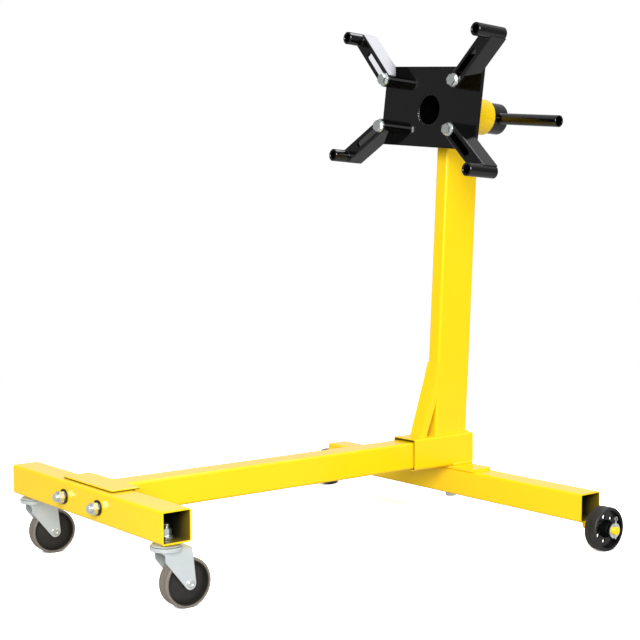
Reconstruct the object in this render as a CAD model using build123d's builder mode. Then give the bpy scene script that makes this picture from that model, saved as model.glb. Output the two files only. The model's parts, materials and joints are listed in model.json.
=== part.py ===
"""Engine stand: a tubular frame on four wheels with a leaning post and a rotating head.

Frame: +Z up, +Y from the casters towards the post, +X the side the handle points to.
The origin lies on the floor under the middle of the stand's bounding box.
Units are millimetres.
"""
from math import cos, pi, radians, sin, tan
import os

from build123d import *

# ---------------------------------------------------------------- driving dimensions
# Frame tubes
tube = 50.0                  # outer width of the square frame tubes
tube_wall = 3.0
tube_corner = 5.0            # outer corner radius
front_length = 486.0         # front cross tube
rear_length = 700.0          # rear cross tube
front_face_y = -453.2        # front face of the front cross tube
front_floor_gap = 103.5      # underside of the front cross tube above the floor
rear_floor_gap = 45.0        # underside of the rear cross tube above the floor
rear_face_y = front_face_y + 776.0

# Joint between beam and front cross tube
end_plate_thickness = 6.0
end_plate_width = 146.0
top_plate_width = 160.0
top_plate_depth = 50.0
top_plate_thickness = 3.0
top_plate_gap = 0.6          # under the plate, which is welded along its rear edge only
top_plate_setback = 11.0     # front edge behind the cross tube's front face
front_bolt_spacing = 111.0

# Receiver that holds the beam's rear end
receiver = 60.0
receiver_wall = 3.5
receiver_corner = 6.0
receiver_length = 151.0
receiver_front_y = front_face_y + 681.0
beam_insertion = 125.0
saddle_width = 172.0
saddle_depth = 52.0
saddle_thickness = 5.0
saddle_overhang = 2.0        # front edge ahead of the rear cross tube's face

# Post and gusset
post_width = 30.0
post_depth = 82.0
post_wall = 2.5
post_corner = 5.0
post_front_y = front_face_y + 747.0
lean = 3.0                   # backward lean of the post, degrees
gusset_reach = 39.0          # how far the gusset's foot stands in front of the post
gusset_height = 138.0        # height of the gusset's top above the receiver
gusset_wall = 2.5
gusset_gap_height = 68.0     # open triangle between the gusset's foot and the post
gusset_gap_depth = 24.0

# Head
axis_y = front_face_y + 741.6    # pivot axis where it meets the head plate's front face
axis_z = 776.0
head_roll = 5.3              # clockwise turn of the head, seen from the front, degrees
plate_width = 260.0
plate_height = 150.0
plate_thickness = 8.0
head_plate_corner = 2.0
plate_rise = 5.5             # plate's middle above the pivot axis
head_tube_radius = 30.15
head_tube_wall = 2.6
head_tube_end = 182.0        # rear end of the rotating tube behind the plate's front face
sleeve_bore_radius = 30.2
sleeve_radius = 34.3
sleeve_start = 10.0
sleeve_end = 143.0
lock_depth = 72.0            # lock pin behind the plate's front face
lock_hole_count = 8
handle_depth = 163.0
handle_radius = 11.0
handle_wall = 2.5
handle_reach = 180.0
handle_tail = 44.0
head_tube_setback = 1.5      # front end of the rotating tube behind the plate's front face
lock_boss_radius = 11.0
lock_boss_height = 20.0
lock_boss_start = 1.0        # foot of the boss above the rotating tube
lock_pin_radius = 6.0
lock_hole_radius = 6.3
lock_pin_lift = 0.6          # pin's end above the rotating tube
lock_pin_top = 66.0          # middle of the pin's bent top above the pivot axis
lock_pin_grip = 38.0
lock_pin_bend = 9.0

# Arms: bolt position on the plate (right, up from the pivot axis) and direction
arm_bolt_x = 96.5
arm_upper_bolt_y = 52.0
arm_lower_bolt_y = -36.5
arms = {
    "upper_left": (-arm_bolt_x, arm_upper_bolt_y, 138.2),
    "upper_right": (arm_bolt_x, arm_upper_bolt_y, 48.5),
    "lower_left": (-arm_bolt_x, arm_lower_bolt_y, 213.7),
    "lower_right": (arm_bolt_x, arm_lower_bolt_y, -37.5),
}
arm_width = 28.0
arm_depth = 36.0             # front of the web above the plate
arm_wall = 3.0
arm_bend = 2.5               # outer bend radius of the channel
arm_reach = 113.5            # bolt to the middle of the end tube
arm_slot_width = 13.0
arm_slot_length = 66.0       # travel of the bolt along the slot
arm_tube_radius = 12.0
arm_tube_bore_radius = 8.0
arm_tube_length = 68.0
arm_gap = 0.2                # between the channel's edges and the head plate
arm_bolt_flange_radius = 12.5
arm_bolt_flange_height = 2.0
arm_bolt_head_height = 6.5
arm_bolt_past_plate = 14.0

# Casters
caster_x = 214.0             # swivel axes left and right of the middle
caster_y = front_face_y + tube / 2
caster_trail = 30.0
caster_wheel_radius = 38.0
caster_wheel_width = 24.0
casters = {"left": (-caster_x, 83.0), "right": (caster_x, 87.0)}
fork_inner = 30.0            # clear width between the fork's legs
fork_wall = 2.5
fork_top = 90.0              # underside of the crown's race above the floor
stem_radius = 4.0
stem_length = 42.0
stem_head_radius = 7.5
stem_head_height = 3.0
stem_nut_height = 11.0
stem_nut_across_flats = 13.0
stem_washer_radius = 10.0
stem_washer_thickness = 4.0
ball_radius = 2.4
ball_circle = 17.0
ball_count = 18
race_groove = 2.7            # half width of the groove that the balls run in
race_gap = 0.8               # between the fork's race and the skirt of the upper race
race_dish = 1.9              # depth of the upper race over the balls
race_skirt = 2.6             # width of the upper race's skirt
race_height = 3.3            # raised lower race above the fork's crown
race_neck_radius = 17.5      # where the upper race's slope ends
race_slope = 2.4             # height of that slope
race_collar_radius = 14.5    # where the race meets the tube
race_radius = 24.7
upper_race_radius = 22.5
fork_back = 14.0             # edge of the fork's legs on the side away from the wheel
fork_front = 3.5             # edge of the crown on the wheel's side, past the axle
fork_front_lean = 6.0        # slope of the legs' edge below it, degrees
fork_back_lean = 51.5        # slope of the legs' long diagonal edge, degrees
fork_throat = 17.0           # depth of the curve under the crown
fork_tip = 9.0               # radius of the leg's end round the axle
fork_axle_hole_radius = 4.0
caster_axle_radius = 3.9
caster_axle_head_radius = 5.8
caster_axle_recess_radius = 3.4
caster_axle_recess_depth = 1.8
caster_axle_head_height = 3.0
caster_axle_past_leg = 2.6
caster_axle_nut_height = 5.0
caster_tyre_shoulder = 2.2
caster_rings = (6.0, 8.0)    # fine grooves in the tread, from the wheel's middle
ring_groove = 0.5
caster_hub_radius = 34.0     # where the tyre sits on the hub
caster_hub_rim = 1.6
caster_dish_outer = 4.0      # half thickness of the conical disc at the rim
caster_dish_inner = 8.0      # and at the boss
caster_boss_radius = 9.5

# Rear wheels
rear_wheel_radius = 38.0
rear_wheel_width = 25.0
rear_wheel_gap = 18.0        # tube end to the tyre
rear_hub_proud = 9.0
axle_radius = 7.0
axle_past_hub = 8.0          # axle end beyond the hub
axle_weld = 12.0             # length of axle welded under the tube
axle_weld_width = 11.0
cotter_inset = 4.0           # cotter pin to the axle's end
cotter_radius = 1.1
cotter_past_axle = 7.0
cotter_eye_thickness = 1.8
cotter_eye_height = 21.0     # middle of the eye above the axle
cotter_hole_radius = 1.9
cotter_eye_radius = 3.6
cotter_eye_hole_radius = 1.7
rear_tyre_shoulder = 3.2
seam = 0.5                   # depth and half width of the groove round the tread
rear_hub_radius = 34.5       # where the tyre sits on the hub
rear_hub_rim = 2.0           # rim thickness under the tyre
rear_hub_disc = 4.0          # thickness of the disc between rim and boss
rear_disc_inner = 12.5       # disc to the inner face of the tyre
rear_boss_radius = 12.0
rear_cone_radius = 16.0      # foot of the cone round the boss
rear_cone_height = 12.0
rear_cone_taper = 16.0       # degrees
rear_boss_inner_proud = 2.2
rear_hub_hole_radius = 4.0   # lightening holes in the disc
rear_hub_hole_circle = 21.5
rear_hub_holes = 7
rim_inset = 1.0              # hub and caster rims below the tyre's faces
axle_washer_radius = 13.2
axle_washer_thickness = 1.8

# M12 fasteners
m12_radius = 6.0
m12_nut_bore_radius = 6.05
m12_hole_radius = 6.5
m12_across_flats = 18.0
m12_head_height = 7.5
m12_nut_height = 10.0
m12_washer_radius = 12.0
m12_washer_thickness = 2.5
thread_past_nut = 6.0        # how far a bolt's end stands past its nut

# Running clearances
running = 0.06
clear = 0.5

cut_past = 1.0               # how far a cut runs past the surface that it opens
plate_corner = 4.0           # corner radius of the flat welded plates
edge_break = 0.8             # chamfer on cut edges
flange_taper = 20.0          # slope of a flanged bolt head's skirt, degrees
bolt_point = 0.15            # chamfer at a bolt's end, as a share of its radius
nut_corner_angle = 31.0      # slope of the chamfer on a nut's corners, degrees

# ---------------------------------------------------------------- derived dimensions
front_tube_y = front_face_y + tube / 2
front_tube_z = front_floor_gap + tube / 2
rear_tube_y = rear_face_y + tube / 2
rear_tube_z = rear_floor_gap + tube / 2
rear_tube_top = rear_floor_gap + tube
receiver_z = rear_tube_top + saddle_thickness + receiver / 2
receiver_top = receiver_z + receiver / 2
beam_z = receiver_z - receiver / 2 + receiver_wall + tube / 2
beam_top = beam_z + tube / 2
end_plate_y = front_face_y + tube
beam_front_y = end_plate_y + end_plate_thickness
beam_rear_y = receiver_front_y + beam_insertion
handle_bore_radius = handle_radius + running

lean_sin = sin(radians(lean))
lean_cos = cos(radians(lean))
roll_sin = sin(radians(head_roll))
roll_cos = cos(radians(head_roll))
forward = (0, -lean_cos, lean_sin)
pivot = (0, axis_y, axis_z)
# Planes at the plate's front face: local x to the right, local y up, normal forward
fixed_head = Plane(origin=pivot, x_dir=(1, 0, 0), z_dir=forward)
head = Plane(origin=pivot, x_dir=(roll_cos, -lean_sin * roll_sin, -lean_cos * roll_sin), z_dir=forward)
post_plane = Plane(
    origin=(0, post_front_y + post_depth / 2, receiver_top),
    x_dir=(1, 0, 0),
    z_dir=(0, lean_sin, lean_cos),
)

os.makedirs("parts", exist_ok=True)


def save(builder, name):
    """Label a finished piece and write it as parts/name.step."""
    builder.part.label = name
    export_step(builder.part, f"parts/{name}.step")


def tube_section(width, height, wall, corner):
    """Outline of a rectangular tube, drawn in the open sketch."""
    RectangleRounded(width, height, corner)
    RectangleRounded(width - 2 * wall, height - 2 * wall, corner - wall, mode=Mode.SUBTRACT)


def hex_bolt(radius, length, across_flats, head_height, flange_radius=0.0, flange_height=0.0):
    """Hexagon bolt along -Z, its head standing on the XY plane."""
    with BuildPart() as bolt:
        if flange_radius:
            with BuildSketch():
                Circle(flange_radius)
            extrude(amount=flange_height, taper=flange_taper)
        with BuildSketch(Plane.XY.offset(flange_height)):
            RegularPolygon(across_flats / 2, 6, major_radius=False)
        extrude(amount=head_height)
        with BuildSketch():
            Circle(radius)
        extrude(amount=-length)
        chamfer(bolt.edges().sort_by(Axis.Z)[0], length=radius * bolt_point)
    return bolt.part


def hex_nut(bore_radius, across_flats, height):
    """Hexagon nut standing on the XY plane, both faces chamfered at the corners."""
    with BuildPart() as nut:
        with BuildSketch():
            RegularPolygon(across_flats / 2, 6, major_radius=False)
        extrude(amount=height)
        with BuildSketch(Plane.XZ):
            half = across_flats / 2
            corner = half / cos(pi / 6)
            drop = (corner - half) * tan(radians(nut_corner_angle))
            with BuildLine():
                Polyline(
                    (0, 0), (half, 0), (corner, drop), (corner, height - drop), (half, height), (0, height),
                    close=True,
                )
            make_face()
        revolve(axis=Axis.Z, mode=Mode.INTERSECT)
        with BuildSketch():
            Circle(bore_radius)
        extrude(amount=height, mode=Mode.SUBTRACT)
    return nut.part


def washer(bore_radius, radius, thickness):
    """Flat washer standing on the XY plane."""
    with BuildPart() as ring:
        with BuildSketch():
            Circle(radius)
            Circle(bore_radius, mode=Mode.SUBTRACT)
        extrude(amount=thickness)
    return ring.part


def place(shape, plane):
    """The shape moved from the XY plane onto the plane."""
    return plane.location * shape


# ---------------------------------------------------------------- front cross tube
with BuildPart() as front_cross_tube:
    with BuildSketch(Plane.YZ.offset(-front_length / 2)):
        with Locations((front_tube_y, front_tube_z)):
            tube_section(tube, tube, tube_wall, tube_corner)
    extrude(amount=front_length)
    # Two bolt holes right through, and a stem hole in the floor of the tube at each end
    with BuildSketch(Plane.XZ.offset(-front_face_y + cut_past)):
        with Locations((-front_bolt_spacing / 2, beam_z), (front_bolt_spacing / 2, beam_z)):
            Circle(m12_hole_radius)
    extrude(amount=-tube - 2 * cut_past, mode=Mode.SUBTRACT)
    with BuildSketch(Plane.XY.offset(front_floor_gap - cut_past)):
        with Locations((-caster_x, caster_y), (caster_x, caster_y)):
            Circle(stem_radius + clear)
    extrude(amount=tube_wall + 2 * cut_past, mode=Mode.SUBTRACT)
save(front_cross_tube, "front_cross_tube")

# ---------------------------------------------------------------- beam and its plates
with BuildPart() as beam_end_plate:
    with BuildSketch(Plane.XZ.offset(-end_plate_y)):
        with Locations((0, beam_z)):
            RectangleRounded(end_plate_width, tube, plate_corner)
        with Locations((-front_bolt_spacing / 2, beam_z), (front_bolt_spacing / 2, beam_z)):
            Circle(m12_hole_radius, mode=Mode.SUBTRACT)
    extrude(amount=-end_plate_thickness)
save(beam_end_plate, "beam_end_plate")

beam_bolt_y = rear_tube_y
with BuildPart() as main_beam:
    with BuildSketch(Plane.XZ.offset(-beam_front_y)):
        with Locations((0, beam_z)):
            tube_section(tube, tube, tube_wall, tube_corner)
    extrude(amount=-(beam_rear_y - beam_front_y))
    with BuildSketch(Plane.XY.offset(beam_z - tube / 2 - cut_past)):
        with Locations((0, beam_bolt_y)):
            Circle(m12_hole_radius)
    extrude(amount=tube_wall + 2 * cut_past, mode=Mode.SUBTRACT)
save(main_beam, "main_beam")

with BuildPart() as beam_top_plate:
    with BuildSketch(Plane.XY.offset(beam_top + top_plate_gap)):
        with Locations((0, front_face_y + top_plate_setback + top_plate_depth / 2)):
            RectangleRounded(top_plate_width, top_plate_depth, plate_corner)
    extrude(amount=top_plate_thickness)
    chamfer(beam_top_plate.faces().sort_by(Axis.Z)[-1].edges(), length=edge_break)
save(beam_top_plate, "beam_top_plate")

# Two bolts from behind, with a washer at each end and the nuts in front
bolt_grip = tube + end_plate_thickness
front_bolt_length = bolt_grip + 2 * m12_washer_thickness + m12_nut_height + thread_past_nut
front_bolt = hex_bolt(m12_radius, front_bolt_length, m12_across_flats, m12_head_height)
m12_nut = hex_nut(m12_nut_bore_radius, m12_across_flats, m12_nut_height)
m12_washer = washer(m12_hole_radius, m12_washer_radius, m12_washer_thickness)
with BuildPart() as front_bolts:
    for side in (-1, 1):
        spot = (side * front_bolt_spacing / 2, beam_front_y + m12_washer_thickness, beam_z)
        add(place(front_bolt, Plane(origin=spot, x_dir=(1, 0, 0), z_dir=(0, 1, 0))))
save(front_bolts, "front_bolts")

with BuildPart() as front_washers:
    for side in (-1, 1):
        rear_spot = (side * front_bolt_spacing / 2, beam_front_y, beam_z)
        add(place(m12_washer, Plane(origin=rear_spot, x_dir=(1, 0, 0), z_dir=(0, 1, 0))))
        front_spot = (side * front_bolt_spacing / 2, front_face_y, beam_z)
        add(place(m12_washer, Plane(origin=front_spot, x_dir=(1, 0, 0), z_dir=(0, -1, 0))))
save(front_washers, "front_washers")

with BuildPart() as front_nuts:
    for side in (-1, 1):
        spot = (side * front_bolt_spacing / 2, front_face_y - m12_washer_thickness, beam_z)
        add(place(m12_nut, Plane(origin=spot, x_dir=(1, 0, 0), z_dir=(0, -1, 0))))
save(front_nuts, "front_nuts")

# ---------------------------------------------------------------- rear cross tube
with BuildPart() as rear_cross_tube:
    with BuildSketch(Plane.YZ.offset(-rear_length / 2)):
        with Locations((rear_tube_y, rear_tube_z)):
            tube_section(tube, tube, tube_wall, tube_corner)
    extrude(amount=rear_length)
    with BuildSketch(Plane.XY.offset(rear_floor_gap - cut_past)):
        with Locations((0, beam_bolt_y)):
            Circle(m12_hole_radius)
    extrude(amount=tube + 2 * cut_past, mode=Mode.SUBTRACT)
save(rear_cross_tube, "rear_cross_tube")

with BuildPart() as saddle_plate:
    with BuildSketch(Plane.XY.offset(rear_tube_top)):
        with Locations((0, rear_face_y + saddle_depth / 2 - saddle_overhang)):
            RectangleRounded(saddle_width, saddle_depth, plate_corner)
        with Locations((0, beam_bolt_y)):
            Circle(m12_hole_radius, mode=Mode.SUBTRACT)
    extrude(amount=saddle_thickness)
    chamfer(saddle_plate.faces().sort_by(Axis.Z)[-1].edges().filter_by(GeomType.LINE), length=edge_break)
save(saddle_plate, "saddle_plate")

with BuildPart() as receiver_tube:
    with BuildSketch(Plane.XZ.offset(-receiver_front_y)):
        with Locations((0, receiver_z)):
            tube_section(receiver, receiver, receiver_wall, receiver_corner)
    extrude(amount=-receiver_length)
    with BuildSketch(Plane.XY.offset(receiver_z - receiver / 2 - cut_past)):
        with Locations((0, beam_bolt_y)):
            Circle(m12_hole_radius)
    extrude(amount=receiver_wall + 2 * cut_past, mode=Mode.SUBTRACT)
save(receiver_tube, "receiver_tube")

# The bolt that holds the beam comes up through the rear cross tube into a nut in the beam
beam_floor = beam_z - tube / 2 + tube_wall
bolt_seat = rear_floor_gap - m12_washer_thickness
receiver_bolt_length = beam_floor + m12_nut_height + thread_past_nut - bolt_seat
receiver_bolt_shape = hex_bolt(m12_radius, receiver_bolt_length, m12_across_flats, m12_head_height)
with BuildPart() as receiver_bolt:
    downwards = Plane(origin=(0, beam_bolt_y, bolt_seat), x_dir=(1, 0, 0), z_dir=(0, 0, -1))
    add(place(receiver_bolt_shape, downwards))
save(receiver_bolt, "receiver_bolt")

with BuildPart() as receiver_washer:
    add(place(m12_washer, Plane(origin=(0, beam_bolt_y, bolt_seat), x_dir=(1, 0, 0), z_dir=(0, 0, 1))))
save(receiver_washer, "receiver_washer")

with BuildPart() as receiver_nut:
    add(place(m12_nut, Plane(origin=(0, beam_bolt_y, beam_floor), x_dir=(1, 0, 0), z_dir=(0, 0, 1))))
save(receiver_nut, "receiver_nut")

# ---------------------------------------------------------------- post and gusset
with BuildPart() as post_tube:
    with BuildSketch(post_plane.offset(-post_width)):
        tube_section(post_width, post_depth, post_wall, post_corner)
    extrude(amount=axis_z - receiver_top + post_width)
    # Foot cut level with the receiver, top coped round the sleeve
    with BuildSketch(Plane.XY.offset(receiver_top)):
        with Locations((0, post_front_y + post_depth / 2)):
            Rectangle(2 * post_width, 2 * post_depth)
    extrude(amount=-2 * post_width, mode=Mode.SUBTRACT)
    with BuildSketch(fixed_head.offset(post_depth)):
        Circle(sleeve_radius)
        with Locations((0, post_depth)):
            Rectangle(2 * post_depth, 2 * post_depth)
    extrude(amount=-4 * post_depth, mode=Mode.SUBTRACT)
save(post_tube, "post_tube")

# Channel with an inclined web and a flange along each side of the post's front
lean_slope = lean_sin / lean_cos
post_face_y = post_front_y + post_depth / 2 * (1 - 1 / lean_cos)
web_thickness = gusset_wall * 1.05      # measured level, because the web leans
gusset_top = Vector(0, post_face_y + gusset_height * lean_slope, receiver_top + gusset_height)
gusset_foot = Vector(0, post_face_y - gusset_reach, receiver_top)
with BuildPart() as post_gusset:
    with BuildSketch(Plane.YZ.offset(-post_width / 2)):
        with BuildLine():
            Polyline(
                (gusset_foot.Y, gusset_foot.Z),
                (gusset_top.Y, gusset_top.Z),
                (post_face_y + gusset_gap_height * lean_slope, receiver_top + gusset_gap_height),
                (post_face_y - gusset_gap_depth, receiver_top),
                close=True,
            )
        make_face()
    extrude(amount=post_width)
    with BuildSketch(Plane.YZ.offset(-post_width / 2 + gusset_wall)):
        with BuildLine():
            Polyline(
                (gusset_foot.Y + web_thickness, gusset_foot.Z - cut_past),
                (gusset_top.Y + web_thickness, gusset_top.Z - cut_past),
                (post_front_y + post_depth, gusset_top.Z),
                (post_front_y + post_depth, receiver_top - cut_past),
                close=True,
            )
        make_face()
    extrude(amount=post_width - 2 * gusset_wall, mode=Mode.SUBTRACT)
save(post_gusset, "post_gusset")

# ---------------------------------------------------------------- rear wheels
tyre_inner_face = rear_length / 2 + rear_wheel_gap
hub_end = tyre_inner_face + rear_wheel_width + rear_hub_proud
axle_end = hub_end + axle_past_hub
cotter_x = axle_end - cotter_inset
with BuildPart() as rear_axles:
    for side in (-1, 1):
        inner = Plane(
            origin=(side * (rear_length / 2 - axle_weld), rear_tube_y, rear_wheel_radius),
            x_dir=(0, 1, 0),
            z_dir=(side, 0, 0),
        )
        with BuildSketch(inner):
            Circle(axle_radius)
        extrude(amount=axle_end - rear_length / 2 + axle_weld)
        # Weld bead between the rod and the underside of the tube
        with BuildSketch(Plane.XY.offset(rear_wheel_radius)):
            with Locations((side * (rear_length / 2 - axle_weld / 2), rear_tube_y)):
                RectangleRounded(axle_weld, axle_weld_width, 1)
        extrude(amount=rear_floor_gap - rear_wheel_radius)
    chamfer(
        rear_axles.edges().filter_by(GeomType.CIRCLE).group_by(Axis.X)[0]
        + rear_axles.edges().filter_by(GeomType.CIRCLE).group_by(Axis.X)[-1],
        length=1,
    )
    # Holes for the cotter pins
    with BuildSketch(Plane.XY.offset(rear_wheel_radius - axle_radius - cut_past)):
        with Locations((-cotter_x, rear_tube_y), (cotter_x, rear_tube_y)):
            Circle(cotter_hole_radius)
    extrude(amount=2 * (axle_radius + cut_past), mode=Mode.SUBTRACT)
save(rear_axles, "rear_axles")

axle_washer = washer(axle_radius + clear, axle_washer_radius, axle_washer_thickness)
with BuildPart() as rear_washers:
    for side in (-1, 1):
        spot = (side * (hub_end + clear), rear_tube_y, rear_wheel_radius)
        add(place(axle_washer, Plane(origin=spot, x_dir=(0, 1, 0), z_dir=(side, 0, 0))))
        inner_x = tyre_inner_face - rear_boss_inner_proud - clear - axle_washer_thickness
        inner_spot = (side * inner_x, rear_tube_y, rear_wheel_radius)
        add(place(axle_washer, Plane(origin=inner_spot, x_dir=(0, 1, 0), z_dir=(side, 0, 0))))
save(rear_washers, "rear_washers")

# Split pin: a round shank through the axle with an eye on top, its flat side to the front
pin_bottom = rear_wheel_radius - axle_radius - cotter_past_axle
eye_z = rear_wheel_radius + cotter_eye_height
with BuildPart() as cotter_pins:
    for side in (-1, 1):
        with BuildSketch(Plane.XY.offset(pin_bottom)):
            with Locations((side * cotter_x, rear_tube_y)):
                Circle(cotter_radius)
        extrude(amount=eye_z - (cotter_eye_radius + cotter_eye_hole_radius) / 2 - pin_bottom)
        eye = Plane(origin=(side * cotter_x, rear_tube_y, eye_z), x_dir=(1, 0, 0), z_dir=(0, -1, 0))
        with BuildSketch(eye.offset(-cotter_eye_thickness / 2)):
            Circle(cotter_eye_radius)
            Circle(cotter_eye_hole_radius, mode=Mode.SUBTRACT)
        extrude(amount=cotter_eye_thickness)
save(cotter_pins, "cotter_pins")

# Both wheels are built outwards from the inner face of the tyre
hub_bore_radius = axle_radius + running
hub_length = rear_boss_inner_proud + rear_wheel_width + rear_hub_proud
for side_name, side in (("left", -1), ("right", 1)):
    wheel_axis = Plane(
        origin=(side * tyre_inner_face, rear_tube_y, rear_wheel_radius), x_dir=(0, 1, 0), z_dir=(side, 0, 0)
    )
    with BuildPart() as rear_tyre:
        with BuildSketch(wheel_axis):
            Circle(rear_wheel_radius)
        extrude(amount=rear_wheel_width)
        fillet(rear_tyre.edges().filter_by(GeomType.CIRCLE), radius=rear_tyre_shoulder)
        with BuildSketch(wheel_axis):
            Circle(rear_hub_radius)
        extrude(amount=rear_wheel_width, mode=Mode.SUBTRACT)
        # Mould seam round the middle of the tread
        with BuildSketch(wheel_axis.offset(rear_wheel_width / 2 - seam)):
            Circle(rear_wheel_radius + cut_past)
            Circle(rear_wheel_radius - seam, mode=Mode.SUBTRACT)
        extrude(amount=2 * seam, mode=Mode.SUBTRACT)
    save(rear_tyre, f"rear_tyre_{side_name}")

    with BuildPart() as rear_hub:
        with BuildSketch(wheel_axis.offset(rim_inset)):
            Circle(rear_hub_radius)
            Circle(rear_hub_radius - rear_hub_rim, mode=Mode.SUBTRACT)
        extrude(amount=rear_wheel_width - 2 * rim_inset)
        with BuildSketch(wheel_axis.offset(rear_disc_inner)):
            Circle(rear_hub_radius - rear_hub_rim / 2)
        extrude(amount=rear_hub_disc)
        with BuildSketch(wheel_axis.offset(-rear_boss_inner_proud)):
            Circle(rear_boss_radius)
        extrude(amount=hub_length)
        # Cone that widens the outer end of the boss towards the disc
        with BuildSketch(wheel_axis.offset(rear_disc_inner + rear_hub_disc)):
            Circle(rear_cone_radius)
        extrude(amount=rear_cone_height, taper=rear_cone_taper)
        # Holes in the disc
        with BuildSketch(wheel_axis):
            with PolarLocations(rear_hub_hole_circle, rear_hub_holes):
                Circle(rear_hub_hole_radius)
        extrude(amount=rear_wheel_width, mode=Mode.SUBTRACT)
        with BuildSketch(wheel_axis.offset(-rear_boss_inner_proud - cut_past)):
            Circle(hub_bore_radius)
        extrude(amount=hub_length + 2 * cut_past, mode=Mode.SUBTRACT)
    save(rear_hub, f"rear_hub_{side_name}")

# ---------------------------------------------------------------- casters
with BuildPart() as caster_stems:
    with BuildSketch(Plane.XY.offset(fork_top - stem_head_height)):
        with Locations((-caster_x, caster_y), (caster_x, caster_y)):
            Circle(stem_radius)
    extrude(amount=stem_length)
    with BuildSketch(Plane.XY.offset(fork_top - 2 * stem_head_height)):
        with Locations((-caster_x, caster_y), (caster_x, caster_y)):
            Circle(stem_head_radius)
    extrude(amount=stem_head_height)
    chamfer(caster_stems.edges().group_by(Axis.Z)[-1], length=edge_break)
save(caster_stems, "caster_stems")

stem_nut = hex_nut(stem_radius + running, stem_nut_across_flats, stem_nut_height)
stem_washer = washer(stem_radius + clear, stem_washer_radius, stem_washer_thickness)
tube_floor = front_floor_gap + tube_wall
with BuildPart() as caster_stem_nuts:
    for x in (-caster_x, caster_x):
        add(place(stem_nut, Plane((x, caster_y, tube_floor + stem_washer_thickness))))
save(caster_stem_nuts, "caster_stem_nuts")

with BuildPart() as caster_stem_washers:
    for x in (-caster_x, caster_x):
        add(place(stem_washer, Plane((x, caster_y, tube_floor))))
save(caster_stem_washers, "caster_stem_washers")

# Upper race: a pressed dish under the tube; balls run between it and the fork's crown
upper_race_z = fork_top + fork_wall + race_height + race_gap
roof_z = upper_race_z + race_dish
with BuildPart() as caster_races:
    for x in (-caster_x, caster_x):
        with BuildSketch(Plane(origin=(x, caster_y, 0), x_dir=(1, 0, 0), z_dir=(0, -1, 0))):
            with BuildLine():
                Polyline(
                    (stem_radius + clear, roof_z),
                    (upper_race_radius - race_skirt, roof_z),
                    (upper_race_radius - 2, upper_race_z),
                    (upper_race_radius, upper_race_z),
                    (upper_race_radius, roof_z),
                    (race_neck_radius, roof_z + race_slope),
                    (race_collar_radius, front_floor_gap),
                    (stem_radius + clear, front_floor_gap),
                    close=True,
                )
            make_face()
        revolve(axis=Axis((x, caster_y, 0), (0, 0, 1)))
save(caster_races, "caster_races")

# Outline of a fork leg: distance behind the swivel axis, height above the floor
fork_crown = fork_top + fork_wall
groove_floor = fork_crown + 0.9
leg_outside = fork_inner / 2 + fork_wall
caster_axle_nut_shape = hex_nut(
    caster_axle_radius + running, 2 * caster_axle_head_radius, caster_axle_nut_height
)
front_turn = radians(fork_front_lean)
back_turn = radians(fork_back_lean)
leg_front = (caster_trail + fork_tip * cos(front_turn), caster_wheel_radius + fork_tip * sin(front_turn))
leg_back = (caster_trail - fork_tip * sin(back_turn), caster_wheel_radius - fork_tip * cos(back_turn))
leg_shoulder = (-fork_back, fork_top - 3)
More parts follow.
